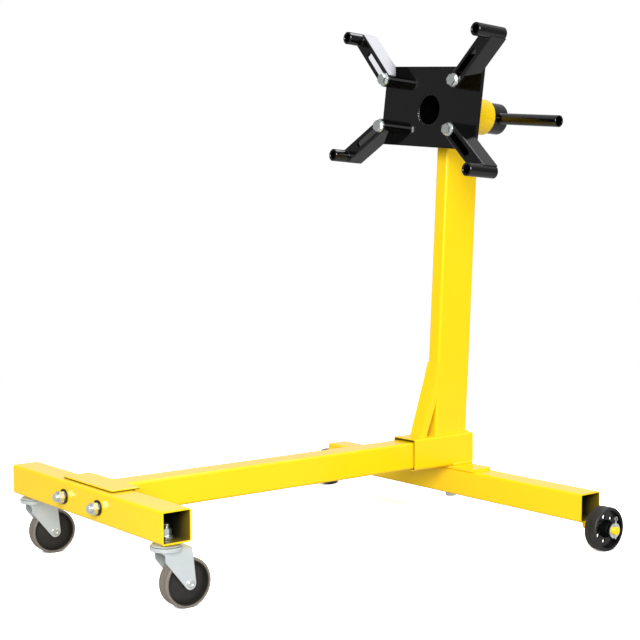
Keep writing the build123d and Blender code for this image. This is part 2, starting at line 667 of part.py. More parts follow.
# The diagonal edge runs up from the tip to the throat in a straight line
throat_z = fork_top - fork_throat
leg_throat = (leg_back[0] - (throat_z - leg_back[1]) / tan(back_turn), throat_z)
leg_bottom = (caster_trail, caster_wheel_radius - fork_tip)
for side_name, (swivel_x, heading) in casters.items():
    along = (cos(radians(heading)), sin(radians(heading)), 0)
    # Local x runs towards the trailing wheel, local y up, normal to the wheel's near face
    wheel_side = Plane(origin=(swivel_x, caster_y, 0), x_dir=along, z_dir=(along[1], -along[0], 0))
    wheel_middle = Plane(
        origin=wheel_side.from_local_coords((caster_trail, caster_wheel_radius, 0)),
        x_dir=along,
        z_dir=wheel_side.z_dir,
    )
    crown = Plane(origin=(swivel_x, caster_y, 0), x_dir=along, z_dir=(0, 0, 1))

    with BuildPart() as caster_fork:
        # Legs: wide at the crown, with a throat and a straight slope to a round end at the axle
        with BuildSketch(wheel_side.offset(fork_inner / 2)):
            with BuildLine():
                Polyline(
                    leg_front, (caster_trail + fork_front, fork_crown), (-fork_back, fork_crown), leg_shoulder
                )
                Spline(leg_shoulder, leg_throat, tangents=((1, -0.1), (cos(back_turn), -sin(back_turn))))
                Line(leg_throat, leg_back)
                ThreePointArc(leg_back, leg_bottom, leg_front)
            make_face()
        extrude(amount=fork_wall)
        mirror(about=wheel_side)
        # Crown between the legs, with the raised lower race
        with BuildSketch(crown.offset(fork_top)):
            with Locations(((caster_trail + fork_front - fork_back) / 2, 0)):
                RectangleRounded(caster_trail + fork_front + fork_back, fork_inner + 2 * fork_wall, 2)
            Circle(race_radius - edge_break)
        extrude(amount=fork_wall)
        with BuildSketch(crown.offset(fork_crown)):
            Circle(race_radius)
        extrude(amount=race_height)
        with BuildSketch(crown.offset(groove_floor)):
            Circle(ball_circle + race_groove)
            Circle(ball_circle - race_groove, mode=Mode.SUBTRACT)
        extrude(amount=race_height, mode=Mode.SUBTRACT)
        with BuildSketch(crown.offset(fork_top - cut_past)):
            Circle(stem_radius + running)
        extrude(amount=fork_wall + race_height + 2 * cut_past, mode=Mode.SUBTRACT)
        with BuildSketch(wheel_middle.offset(-fork_inner)):
            Circle(fork_axle_hole_radius)
        extrude(amount=2 * fork_inner, mode=Mode.SUBTRACT)
    save(caster_fork, f"caster_fork_{side_name}")

    with BuildPart() as caster_balls:
        with Locations(crown.offset(groove_floor + ball_radius)):
            with PolarLocations(ball_circle, ball_count):
                Sphere(ball_radius)
    save(caster_balls, f"caster_balls_{side_name}")

    with BuildPart() as caster_axle:
        with BuildSketch(wheel_middle.offset(-leg_outside - caster_axle_past_leg)):
            Circle(caster_axle_radius)
        extrude(amount=2 * (leg_outside + caster_axle_past_leg))
        with BuildSketch(wheel_middle.offset(leg_outside)):
            Circle(caster_axle_head_radius)
        extrude(amount=caster_axle_head_height)
        near_face = caster_axle.faces().sort_by(Axis(wheel_middle.origin, wheel_middle.z_dir))[-1]
        chamfer(near_face.edges(), length=1)
        # Hollow end, spread like a rivet
        recess_floor = leg_outside + caster_axle_head_height - caster_axle_recess_depth
        with BuildSketch(wheel_middle.offset(recess_floor)):
            Circle(caster_axle_recess_radius)
        extrude(amount=2 * caster_axle_recess_depth, mode=Mode.SUBTRACT)
    save(caster_axle, f"caster_axle_{side_name}")

    with BuildPart() as caster_axle_nut:
        far_side = Plane(
            origin=wheel_middle.from_local_coords((0, 0, -leg_outside)),
            x_dir=along,
            z_dir=-wheel_middle.z_dir,
        )
        add(place(caster_axle_nut_shape, far_side))
    save(caster_axle_nut, f"caster_axle_nut_{side_name}")

    with BuildPart() as caster_tyre:
        with BuildSketch(wheel_middle.offset(-caster_wheel_width / 2)):
            Circle(caster_wheel_radius)
        extrude(amount=caster_wheel_width)
        fillet(caster_tyre.edges().filter_by(GeomType.CIRCLE), radius=caster_tyre_shoulder)
        with BuildSketch(wheel_middle.offset(-caster_wheel_width / 2)):
            Circle(caster_hub_radius)
        extrude(amount=caster_wheel_width, mode=Mode.SUBTRACT)
        # Fine rings round both edges of the tread
        for ring in caster_rings:
            for ring_side in (-1, 1):
                with BuildSketch(wheel_middle.offset(ring_side * ring - ring_groove / 2)):
                    Circle(caster_wheel_radius + cut_past)
                    Circle(caster_wheel_radius - ring_groove, mode=Mode.SUBTRACT)
                extrude(amount=ring_groove, mode=Mode.SUBTRACT)
    save(caster_tyre, f"caster_tyre_{side_name}")

    # Half of the hub's section: distance from the axle, distance from the wheel's middle
    hub_half = (
        (caster_axle_radius + running, fork_inner / 2 - clear),
        (caster_boss_radius, fork_inner / 2 - clear),
        (caster_boss_radius, caster_dish_inner),
        (caster_hub_radius - caster_hub_rim, caster_dish_outer),
        (caster_hub_radius - caster_hub_rim, caster_wheel_width / 2 - rim_inset),
        (caster_hub_radius, caster_wheel_width / 2 - rim_inset),
    )
    hub_other_half = [(radius, -height) for radius, height in reversed(hub_half)]
    with BuildPart() as caster_hub:
        with BuildSketch(Plane(origin=wheel_middle.origin, x_dir=along, z_dir=(0, 0, -1))):
            with BuildLine():
                Polyline(*hub_half, *hub_other_half, close=True)
            make_face()
        revolve(axis=Axis(wheel_middle.origin, wheel_middle.z_dir))
    save(caster_hub, f"caster_hub_{side_name}")

# ---------------------------------------------------------------- head
with BuildPart() as pivot_sleeve:
    with BuildSketch(fixed_head.offset(-sleeve_end)):
        Circle(sleeve_radius)
    extrude(amount=sleeve_end - sleeve_start)
    chamfer(pivot_sleeve.edges().filter_by(GeomType.CIRCLE), length=edge_break)
    # Boss on top that guides the lock pin
    boss = Plane(
        origin=fixed_head.from_local_coords((0, 0, -lock_depth)),
        x_dir=(1, 0, 0),
        z_dir=fixed_head.y_dir,
    )
    with BuildSketch(boss.offset(head_tube_radius + lock_boss_start)):
        Circle(lock_boss_radius)
    extrude(amount=lock_boss_height)
    with BuildSketch(boss):
        Circle(lock_pin_radius + running)
    extrude(amount=lock_pin_top, mode=Mode.SUBTRACT)
    with BuildSketch(fixed_head.offset(-sleeve_end - cut_past)):
        Circle(sleeve_bore_radius)
    extrude(amount=sleeve_end, mode=Mode.SUBTRACT)
save(pivot_sleeve, "pivot_sleeve")

# Lock pin, bent over at the top, resting lifted clear of the rotating tube
pin_foot = head_tube_radius + lock_pin_lift
with BuildPart() as lock_pin:
    with BuildLine(Plane(origin=boss.origin, x_dir=(1, 0, 0), z_dir=fixed_head.z_dir)) as pin_path:
        FilletPolyline((0, pin_foot), (0, lock_pin_top), (lock_pin_grip, lock_pin_top), radius=lock_pin_bend)
    with BuildSketch(boss.offset(pin_foot)):
        Circle(lock_pin_radius)
    sweep(path=pin_path.line)
save(lock_pin, "lock_pin")

with BuildPart() as head_plate:
    with BuildSketch(head.offset(-plate_thickness)):
        with Locations((0, plate_rise)):
            RectangleRounded(plate_width, plate_height, head_plate_corner)
        Circle(head_tube_radius, mode=Mode.SUBTRACT)
        for bolt_x, bolt_y, _ in arms.values():
            with Locations((bolt_x, bolt_y)):
                Circle(m12_hole_radius, mode=Mode.SUBTRACT)
    extrude(amount=plate_thickness)
save(head_plate, "head_plate")

with BuildPart() as head_tube:
    with BuildSketch(head.offset(-head_tube_end)):
        Circle(head_tube_radius)
        Circle(head_tube_radius - head_tube_wall, mode=Mode.SUBTRACT)
    extrude(amount=head_tube_end - head_tube_setback)
    # Holes for the lock pin round the tube, and one pair for the handle
    for step in range(lock_hole_count):
        turn = 360 / lock_hole_count * step
        spoke = Plane(
            origin=head.from_local_coords((0, 0, -lock_depth)),
            x_dir=head.z_dir,
            z_dir=head.x_dir * cos(radians(turn)) + head.y_dir * sin(radians(turn)),
        )
        with BuildSketch(spoke):
            Circle(lock_hole_radius)
        extrude(amount=head_tube_radius + cut_past, mode=Mode.SUBTRACT)
    handle_line = Plane(
        origin=head.from_local_coords((0, 0, -handle_depth)), x_dir=head.z_dir, z_dir=head.x_dir
    )
    with BuildSketch(handle_line.offset(-head_tube_radius - cut_past)):
        Circle(handle_bore_radius)
    extrude(amount=2 * (head_tube_radius + cut_past), mode=Mode.SUBTRACT)
save(head_tube, "head_tube")

with BuildPart() as handle_bar:
    with BuildSketch(handle_line.offset(-handle_tail)):
        Circle(handle_radius)
        Circle(handle_radius - handle_wall, mode=Mode.SUBTRACT)
    extrude(amount=handle_tail + handle_reach)
    chamfer(handle_bar.edges().filter_by(GeomType.CIRCLE), length=edge_break)
save(handle_bar, "handle_bar")

# ---------------------------------------------------------------- arms
arm_bolt = hex_bolt(
    m12_radius, arm_depth + plate_thickness + arm_bolt_past_plate, m12_across_flats, arm_bolt_head_height,
    flange_radius=arm_bolt_flange_radius, flange_height=arm_bolt_flange_height,
)
for arm_name, (bolt_x, bolt_y, direction) in arms.items():
    outward = head.x_dir * cos(radians(direction)) + head.y_dir * sin(radians(direction))
    seat = head.from_local_coords((bolt_x, bolt_y, 0))
    # Local x along the arm, local y across it, normal away from the plate
    arm = Plane(origin=seat, x_dir=outward, z_dir=head.z_dir)

    with BuildPart() as arm_channel:
        with BuildSketch(arm.offset(arm_gap)):
            Circle(arm_width / 2)
            with Locations((arm_reach / 2, 0)):
                Rectangle(arm_reach, arm_width)
        extrude(amount=arm_depth - arm_gap)
        # The flanges meet in a round end past the bolt
        fillet(arm_channel.faces().sort_by(Axis(seat, head.z_dir))[-1].edges(), radius=arm_bend)
        with BuildSketch(arm.offset(arm_gap - cut_past)):
            Circle(arm_width / 2 - arm_wall)
            with Locations((arm_reach / 2, 0)):
                Rectangle(arm_reach, arm_width - 2 * arm_wall)
        extrude(amount=arm_depth - arm_wall - arm_gap + cut_past, mode=Mode.SUBTRACT)
        with BuildSketch(arm.offset(arm_depth - arm_wall - cut_past)):
            with Locations((arm_slot_length / 2, 0)):
                SlotCenterToCenter(arm_slot_length, arm_slot_width)
        extrude(amount=arm_wall + 2 * cut_past, mode=Mode.SUBTRACT)
        # Outer end coped to the end tube
        with BuildSketch(arm.offset(arm_gap - cut_past)):
            with Locations((arm_reach, 0)):
                Circle(arm_tube_radius)
        extrude(amount=arm_depth + 2 * cut_past, mode=Mode.SUBTRACT)
    save(arm_channel, f"arm_channel_{arm_name}")

    with BuildPart() as arm_end_tube:
        with BuildSketch(arm.offset(arm_gap)):
            with Locations((arm_reach, 0)):
                Circle(arm_tube_radius)
                Circle(arm_tube_bore_radius, mode=Mode.SUBTRACT)
        extrude(amount=arm_tube_length)
        chamfer(arm_end_tube.edges().filter_by(GeomType.CIRCLE), length=edge_break)
    save(arm_end_tube, f"arm_end_tube_{arm_name}")

    with BuildPart() as arm_bolt_piece:
        add(place(arm_bolt, arm.offset(arm_depth)))
    save(arm_bolt_piece, f"arm_bolt_{arm_name}")

    with BuildPart() as arm_nut_piece:
        add(place(m12_nut, Plane(arm.offset(-plate_thickness).origin, x_dir=outward, z_dir=-head.z_dir)))
    save(arm_nut_piece, f"arm_nut_{arm_name}")
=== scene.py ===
"""Looks of the engine stand: materials, weld beads, threads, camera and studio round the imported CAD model.

Units are metres, in the frame of the CAD model: +Z up, +Y from the casters towards the post.
"""
import json
import random
from math import cos, pi, radians, sin

import bmesh
import bpy
from mathutils import Matrix, Vector

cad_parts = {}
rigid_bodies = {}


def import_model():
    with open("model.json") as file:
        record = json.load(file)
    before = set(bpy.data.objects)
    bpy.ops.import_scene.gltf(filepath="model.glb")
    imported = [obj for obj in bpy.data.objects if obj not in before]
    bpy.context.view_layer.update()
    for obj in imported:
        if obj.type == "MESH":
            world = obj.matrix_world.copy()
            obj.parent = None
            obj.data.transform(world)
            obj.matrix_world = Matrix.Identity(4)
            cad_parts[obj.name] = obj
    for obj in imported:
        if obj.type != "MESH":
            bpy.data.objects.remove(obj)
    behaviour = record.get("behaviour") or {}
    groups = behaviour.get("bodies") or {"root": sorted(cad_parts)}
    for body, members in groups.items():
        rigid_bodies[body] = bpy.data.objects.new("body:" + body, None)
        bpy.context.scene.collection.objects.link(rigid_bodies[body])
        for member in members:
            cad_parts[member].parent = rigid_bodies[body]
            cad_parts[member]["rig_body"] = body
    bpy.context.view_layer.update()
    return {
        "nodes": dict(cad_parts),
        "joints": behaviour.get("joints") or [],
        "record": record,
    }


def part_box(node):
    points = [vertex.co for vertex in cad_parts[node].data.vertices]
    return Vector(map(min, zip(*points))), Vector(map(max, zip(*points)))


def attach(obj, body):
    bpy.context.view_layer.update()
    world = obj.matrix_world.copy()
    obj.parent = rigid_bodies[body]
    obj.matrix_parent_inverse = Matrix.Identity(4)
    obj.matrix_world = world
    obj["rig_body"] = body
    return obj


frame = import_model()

scene = bpy.context.scene
joints = {joint["name"]: joint for joint in frame["joints"]}
slot_of = {part["node"]: part["material_slot"] for part in frame["record"]["subparts"]}
pressed_zinc = ("caster_fork_left", "caster_fork_right", "caster_races")
plate_hole_radius = 0.03015      # round hole in the head plate
chip_reach = 0.0012              # how far the chips spread from its edge
# Open tubes: the axis that each one lies along, and how far in its rim is painted
hollows = {
    "front_cross_tube": (0, 0.0026),
    "rear_cross_tube": (0, 0.0022),
    "receiver_tube": (1, 0.0021),
}
shadow_line_depth = 0.0014              # painted shadow line at the foot of the top plate's open edges


# ---------------------------------------------------------------- material building blocks
def set_range(node, low, high, new_low, new_high):
    """Fill a Map Range node: low to high becomes new_low to new_high."""
    ends = {"From Min": low, "From Max": high, "To Min": new_low, "To Max": new_high}
    for name, number in ends.items():
        node.inputs[name].default_value = number


class Finish:
    """A Principled material with short calls for the nodes that vary it."""

    def __init__(self, name, colour, roughness, metallic=0.0, origin=None, axis=None):
        self.material = bpy.data.materials.new(name)
        self.material.use_nodes = True
        self.nodes = self.material.node_tree.nodes
        self.links = self.material.node_tree.links
        self.shader = self.nodes["Principled BSDF"]
        self.colour = colour
        self.shader.inputs["Base Color"].default_value = (*colour, 1)
        self.shader.inputs["Roughness"].default_value = roughness
        self.shader.inputs["Metallic"].default_value = metallic
        self.place = self.nodes.new("ShaderNodeTexCoord").outputs["Object"]
        if axis is not None:
            # Object coordinates moved to origin and turned so that z runs along axis
            turn = Vector(axis).to_track_quat("Z", "Y").to_matrix().to_4x4()
            self.place = self.turned(turn.inverted() @ Matrix.Translation(-Vector(origin)))
        self.bumps = []

    def turned(self, matrix):
        """Object coordinates through a rigid matrix, by a Mapping node."""
        mapping = self.nodes.new("ShaderNodeMapping")
        self.links.new(self.place, mapping.inputs["Vector"])
        mapping.inputs["Location"].default_value = matrix.to_translation()
        mapping.inputs["Rotation"].default_value = matrix.to_euler()
        return mapping.outputs["Vector"]

    def set(self, **values):
        """Constants straight on the shader's own sockets."""
        for name, value in values.items():
            self.shader.inputs[name.replace("_", " ")].default_value = value
        return self

    def noise(self, size, detail, roughness=0.5):
        """Noise whose blotches are about size metres across."""
        node = self.nodes.new("ShaderNodeTexNoise")
        self.links.new(self.place, node.inputs["Vector"])
        node.inputs["Scale"].default_value = 1 / size
        node.inputs["Detail"].default_value = detail
        node.inputs["Roughness"].default_value = roughness
        return node.outputs["Fac"]

    def remap(self, value, low, high, new_low, new_high):
        node = self.nodes.new("ShaderNodeMapRange")
        self.links.new(value, node.inputs["Value"])
        set_range(node, low, high, new_low, new_high)
        return node.outputs["Result"]

    def math(self, operation, first, second=0.0):
        node = self.nodes.new("ShaderNodeMath")
        node.operation = operation
        for socket, value in zip(node.inputs, (first, second)):
            if isinstance(value, (int, float)):
                socket.default_value = value
            else:
                self.links.new(value, socket)
        return node.outputs["Value"]

    def tint(self, mask, colour, amount=1.0):
        """Mix colour over the base where mask is 1."""
        socket = self.shader.inputs["Base Color"]
        mix = self.nodes.new("ShaderNodeMix")
        mix.data_type = "RGBA"
        factor, under, over = mix.inputs[0], mix.inputs[6], mix.inputs[7]
        if socket.links:
            self.links.new(socket.links[0].from_socket, under)
        else:
            under.default_value = (*self.colour, 1)
        over.default_value = (*colour, 1)
        self.links.new(self.math("MULTIPLY", mask, amount), factor)
        self.links.new(mix.outputs[2], socket)

    def rough(self, mask, low, high):
        """Roughness from low, where mask is 0, to high, where it is 1."""
        self.links.new(self.remap(mask, 0.0, 1.0, low, high), self.shader.inputs["Roughness"])

    def bump(self, height, depth):
        """Surface relief of depth metres from a 0 to 1 height; calls add up."""
        node = self.nodes.new("ShaderNodeBump")
        node.inputs["Strength"].default_value = 1.0
        node.inputs["Distance"].default_value = depth
        self.links.new(height, node.inputs["Height"])
        if self.bumps:
            self.links.new(self.bumps[-1], node.inputs["Normal"])
        self.bumps.append(node.outputs["Normal"])
        self.links.new(self.bumps[-1], self.shader.inputs["Normal"])

    def inside_of(self, node, along, rim):
        """1 on the inner walls of a square tube along that axis, and the distance from its nearer end."""
        low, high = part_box(node)
        parts = self.nodes.new("ShaderNodeSeparateXYZ")
        self.links.new(self.place, parts.inputs["Vector"])
        from_middle = [
            self.math("ABSOLUTE", self.math("SUBTRACT", output, (low[index] + high[index]) / 2))
            for index, output in enumerate(parts.outputs)
        ]
        across = [index for index in range(3) if index != along]
        reach = self.math("MAXIMUM", from_middle[across[0]], from_middle[across[1]])
        inner = (high[2] - low[2]) / 2 - rim
        depth = self.math("SUBTRACT", (high[along] - low[along]) / 2, from_middle[along])
        return self.math("LESS_THAN", reach, inner), depth

    def length(self, first, second):
        """Length of a plane vector."""
        square = self.math("ADD", self.math("POWER", first, 2.0), self.math("POWER", second, 2.0))
        return self.math("SQRT", square)

    def chips_round(self, middle, radius):
        """1 on small spots along the lower left edge of an upright hole."""
        parts = self.nodes.new("ShaderNodeSeparateXYZ")
        self.links.new(self.place, parts.inputs["Vector"])
        leftward = self.math("SUBTRACT", middle.x, parts.outputs["X"])
        upward = self.math("SUBTRACT", parts.outputs["Z"], middle.z)
        edge = self.math("LESS_THAN", self.length(leftward, upward), radius + chip_reach)
        left = self.math("GREATER_THAN", leftward, 0.55 * radius)
        below = self.math("LESS_THAN", upward, 0.02 * radius)
        spots = self.remap(self.noise(0.004, 3), 0.5, 0.56, 0.0, 1.0)
        return self.math("MULTIPLY", self.math("MULTIPLY", edge, left), self.math("MULTIPLY", below, spots))

    def radius_and_height(self):
        """Distance from the local z axis, and place along it."""
        parts = self.nodes.new("ShaderNodeSeparateXYZ")
        self.links.new(self.place, parts.inputs["Vector"])
        return self.length(parts.outputs["X"], parts.outputs["Y"]), parts.outputs["Z"]


# ---------------------------------------------------------------- materials
def yellow_paint(name="yellow_paint", hollow=None, seam_top=None):
    """Gloss powder coat with a faint orange peel; a tube's inside is bare and dark, with painted shade that
    deepens further in, and a painted shadow line runs along the foot of an open seam.
    """
    paint = Finish(name, (0.97, 0.64, 0.005), 0.2).set(Specular_IOR_Level=0.3)
    paint.tint(paint.remap(paint.noise(0.15, 2), 0.35, 0.7, 0, 1), (0.95, 0.615, 0.005), 0.5)
    paint.rough(paint.noise(0.03, 3), 0.15, 0.24)
    paint.bump(paint.noise(0.004, 1), 0.000025)
    if hollow:
        inside, depth = paint.inside_of(*hollow)
        smooth = paint.shader.inputs["Roughness"].links[0].from_socket
        dull = paint.math("MAXIMUM", smooth, paint.math("MULTIPLY", inside, 0.5))
        paint.links.new(dull, paint.shader.inputs["Roughness"])
        # Dark inside: bare steel, with painted shade that deepens further from the open end
        paint.tint(inside, (0.12, 0.085, 0.008), 0.9)
        shade_deeper_in = paint.remap(depth, 0.0, 0.03, 0.2, 1)
        paint.tint(paint.math("MULTIPLY", inside, shade_deeper_in), (0.02, 0.017, 0.007))
    # Painted shadow line along the foot of the plate's open edges
    if seam_top is not None:
        parts = paint.nodes.new("ShaderNodeSeparateXYZ")
        paint.links.new(paint.place, parts.inputs["Vector"])
        paint.tint(paint.math("LESS_THAN", parts.outputs["Z"], seam_top), (0.08, 0.055, 0.006), 0.95)
    return paint.material


def black_paint(name="black_paint", chipped_hole=None):
    """Gloss enamel; chipped_hole is the middle and radius of a hole with bare spots on its edge."""
    paint = Finish(name, (0.0014, 0.0014, 0.0013), 0.06)
    paint.rough(paint.noise(0.02, 3), 0.04, 0.1)
    paint.bump(paint.noise(0.012, 1), 0.00001)
    paint.bump(paint.noise(0.002, 2), 0.000004)
    if chipped_hole:
        paint.tint(paint.chips_round(*chipped_hole), (0.5, 0.5, 0.52), 0.8)
    return paint.material


def zinc_plate(name, colour, metallic, roughness, grain):
    """Bright zinc with a faint blue and yellow passivation tint."""
    zinc = Finish(name, colour, 0.3, metallic=metallic)
    zinc.tint(zinc.remap(zinc.noise(0.012, 3), 0.45, 0.75, 0, 1), (0.66, 0.68, 0.74), 0.6)
    zinc.tint(zinc.remap(zinc.noise(0.02, 3), 0.55, 0.8, 0, 1), (0.80, 0.76, 0.62), 0.4)
    zinc.rough(zinc.noise(0.004, 4), *roughness)
    zinc.bump(zinc.noise(0.0007, 3), grain)
    return zinc.material


def dark_washer():
    """Black oxide steel with bright rubbed spots."""
    steel = Finish("dark_washer", (0.03, 0.03, 0.031), 0.4, metallic=0.8)
    steel.tint(steel.remap(steel.noise(0.002, 4), 0.6, 0.75, 0, 1), (0.12, 0.12, 0.12), 0.5)
    steel.rough(steel.noise(0.003, 3), 0.32, 0.5)
    return steel.material


def bearing_steel():
    """Polished balls."""
    steel = Finish("bearing_steel", (0.62, 0.62, 0.64), 0.12, metallic=1.0)
    steel.rough(steel.noise(0.001, 3), 0.08, 0.2)
    return steel.material


def black_plastic():
    """Glossy moulded hub with a soft flow pattern."""
    plastic = Finish("black_plastic", (0.003, 0.003, 0.003), 0.2)
    plastic.rough(plastic.noise(0.008, 3), 0.12, 0.26)
    plastic.bump(plastic.noise(0.003, 2), 0.00003)
    return plastic.material


def wheel_rubber(name, colour, worn, roughness, origin, axis, ring_spacing):
    """Rubber with moulding rings round the axle and a dusty, slightly worn tread."""
    rubber = Finish(name, colour, roughness, origin=origin, axis=axis)
    radius, height = rubber.radius_and_height()
    turns = rubber.math("MULTIPLY", rubber.math("ADD", radius, height), 2 * pi / ring_spacing)
    rings = rubber.math("SINE", turns)
    rubber.tint(rubber.remap(rubber.noise(0.006, 5, 0.6), 0.4, 0.7, 0, 1), worn, 0.6)
    rubber.rough(rubber.noise(0.003, 4), roughness - 0.08, roughness + 0.12)
    rubber.bump(rubber.remap(rings, -1.0, 1.0, 0.0, 1.0), 0.00003)
    rubber.bump(rubber.noise(0.0009, 3), 0.00003)
    return rubber.material


def wheel_frame(body):
    """Centre and axle direction of a wheel body, from its joint."""
    joint = next(joint for joint in frame["joints"] if joint["child"] == body)
    return Vector(joint["pos_m"]), Vector(joint["axis"])


plain = {
    "yellow_paint": yellow_paint(),
    "black_paint": black_paint(),
    "zinc_plate": zinc_plate("zinc_plate", (0.74, 0.79, 0.77), 0.9, (0.18, 0.28), 0.0000015),
    "dark_washer": dark_washer(),
    "bearing_steel": bearing_steel(),
    "black_plastic": black_plastic(),
}
# Colour, worn colour, roughness and ring spacing of the round parts
rubbers = {
    "rear_tread": ((0.009, 0.009, 0.009), (0.02, 0.02, 0.02), 0.42, 0.0015),
    "caster_tread": ((0.17, 0.145, 0.12), (0.25, 0.22, 0.19), 0.45, 0.0012),
}
moulded_core = ((0.014, 0.012, 0.010), (0.022, 0.019, 0.016), 0.45, 0.002)
zinc_sheet = zinc_plate("zinc_sheet", (0.62, 0.675, 0.67), 0.5, (0.27, 0.33), 0.0000005)
for node, piece in frame["nodes"].items():
    slot = slot_of[node]
    if node in hollows:
        finish = yellow_paint(node, hollow=(node, *hollows[node]))
    elif node == "beam_top_plate":
        finish = yellow_paint(node, seam_top=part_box(node)[0][2] + shadow_line_depth)
    elif node == "head_plate":
        finish = black_paint(node, chipped_hole=(Vector(joints["head_spin"]["pos_m"]), plate_hole_radius))
    elif node in pressed_zinc:
        finish = zinc_sheet
    elif slot in plain:
        finish = plain[slot]
    else:
        centre, axle = wheel_frame(piece["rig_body"])
        colour, worn, roughness, ring_spacing = rubbers.get(slot, moulded_core)
        finish = wheel_rubber(node, colour, worn, roughness, centre, axle, ring_spacing)
    piece.data.materials.clear()
    piece.data.materials.append(finish)


# ---------------------------------------------------------------- weld beads and threads
def swept_mesh(name, path, radii, sides=8, closed=False):
    """Round skin along a path of points, with its own radius at each of them."""
    form = bmesh.new()
    rings = []
    count = len(path)
    side_step = None
    for index, point in enumerate(path):
        before = path[index - 1] if closed or index else point
        after = path[(index + 1) % count] if closed or index + 1 < count else point
        along = (after - before).normalized()
        if side_step is None:
            side_step = along.orthogonal().normalized()
        side_step = (side_step - along * side_step.dot(along)).normalized()
        other = along.cross(side_step)
        rings.append([
            form.verts.new(point + radii[index] * (cos(turn) * side_step + sin(turn) * other))
            for turn in (2 * pi * side / sides for side in range(sides))
        ])
    for index in range(count if closed else count - 1):
        first, second = rings[index], rings[(index + 1) % count]
        # The last ring of a closed path may be turned against the first one
        shift = 0
        if closed and index + 1 == count:
            shift = min(range(sides), key=lambda turn: (second[turn].co - first[0].co).length)
        for side in range(sides):
            after_side = (side + 1) % sides
            far_after = second[(after_side + shift) % sides]
            form.faces.new((first[side], first[after_side], far_after, second[(side + shift) % sides]))
    if not closed:
        form.faces.new(list(reversed(rings[0])))
        form.faces.new(rings[-1])
    bmesh.ops.recalc_face_normals(form, faces=form.faces)
    mesh = bpy.data.meshes.new(name)
    form.to_mesh(mesh)
    form.free()
    mesh.shade_smooth()
    return mesh


def add_piece(name, mesh, finish, body):
    """A new object that takes the slot's finish and moves with the body."""
    piece = bpy.data.objects.new(name, mesh)
    scene.collection.objects.link(piece)
    mesh.materials.append(finish)
    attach(piece, body)


def spaced(corners, closed):
    """Points every bead_step along straight runs between the corners."""
    path = []
    ends = corners[1:] + corners[:1] if closed else corners[1:]
    for start, end in zip(corners, ends):
        steps = max(2, round((end - start).length / bead_step))
        path += [start.lerp(end, step / steps) for step in range(steps)]
    if not closed:
        path.append(corners[-1])
    return path


def weld(name, body, slot, corners, radius, closed=False):
    """Bead along the corners, with the ripples of a hand-run weld."""
    path = spaced([Vector(corner) for corner in corners], closed)
    rng = random.Random(name)
    radii = []
    for index in range(len(path)):
        ripple = abs(sin(pi * index * bead_step / bead_ripple))
        end_fade = 1.0 if closed else min(1.0, 0.45 + 0.2 * min(index, len(path) - 1 - index))
        radii.append(radius * end_fade * (0.86 + 0.16 * ripple + 0.08 * rng.random()))
        path[index] = path[index] + Vector([rng.uniform(-1, 1) * 0.08 * radius for _ in range(3)])
    add_piece(name, swept_mesh(name, path, radii, closed=closed), plain[slot], body)


def ring_points(centre, axis, radius, count=48, start=0.0, sweep=2 * pi, x_dir=None):
    """Points on a circle or an arc round the axis."""
    axis = Vector(axis).normalized()
    first = Vector(x_dir) if x_dir else axis.orthogonal().normalized()
    second = axis.cross(first)
    turns = (start + sweep * step / count for step in range(count + (sweep < 2 * pi)))
    return [Vector(centre) + radius * (cos(turn) * first + sin(turn) * second) for turn in turns]


def box_loop(node, level, axis, grow):
    """Corners of the node's box, square to one axis at that level."""
    low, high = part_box(node)
    first, second = [index for index in range(3) if index != axis]
    loop = []
    for a, b in ((0, 0), (1, 0), (1, 1), (0, 1)):
        corner = [0.0] * 3
        corner[axis] = level
        corner[first] = high[first] + grow if a else low[first] - grow
        corner[second] = high[second] + grow if b else low[second] - grow
        loop.append(Vector(corner))
    return loop


def thread(name, body, centre, axis, radius, pitch, start, length):
    """Helical ridge round a zinc bolt's end; start and length run along the axis from the centre."""
    slot = "zinc_plate"
    axis = Vector(axis).normalized()
    first = axis.orthogonal().normalized()
    second = axis.cross(first)
    count = max(12, int(length / pitch * 24))
    path, radii = [], []
    for step in range(count + 1):
        turn = 2 * pi * length / pitch * step / count
        place = Vector(centre) + axis * (start + length * step / count)
        path.append(place + radius * (cos(turn) * first + sin(turn) * second))
        radii.append(pitch * 0.3 * min(1.0, 0.2 + 0.1 * min(step, count - step)))
    add_piece(name, swept_mesh(name, path, radii, sides=6), plain[slot], body)


bead_step = 0.0011
bead_ripple = 0.0042             # length of one ripple
bead = 0.0022                    # radius of the beads on the frame
small_bead = 0.0016
bead_sink = 0.001                # how far a bead's middle lies inside an edge
corner_gap = 0.006               # bead ends stop short of a plate's rounded corners
tube_edge_gap = 0.008            # and of the rear cross tube's rounded edges
top_plate_gap = 0.2              # middle part of the top plate's rear edge that has no bead
end_plate_lap = 0.004            # reach of the top plate's side beads onto the end plate
gusset_bead_inset = 0.0006       # from the gusset's sides
gusset_foot_bead = 0.013
axle_bead_offset = 0.0058        # beads beside each rear axle
axle_bead_end = 0.012            # from the tube's end to their inner ends


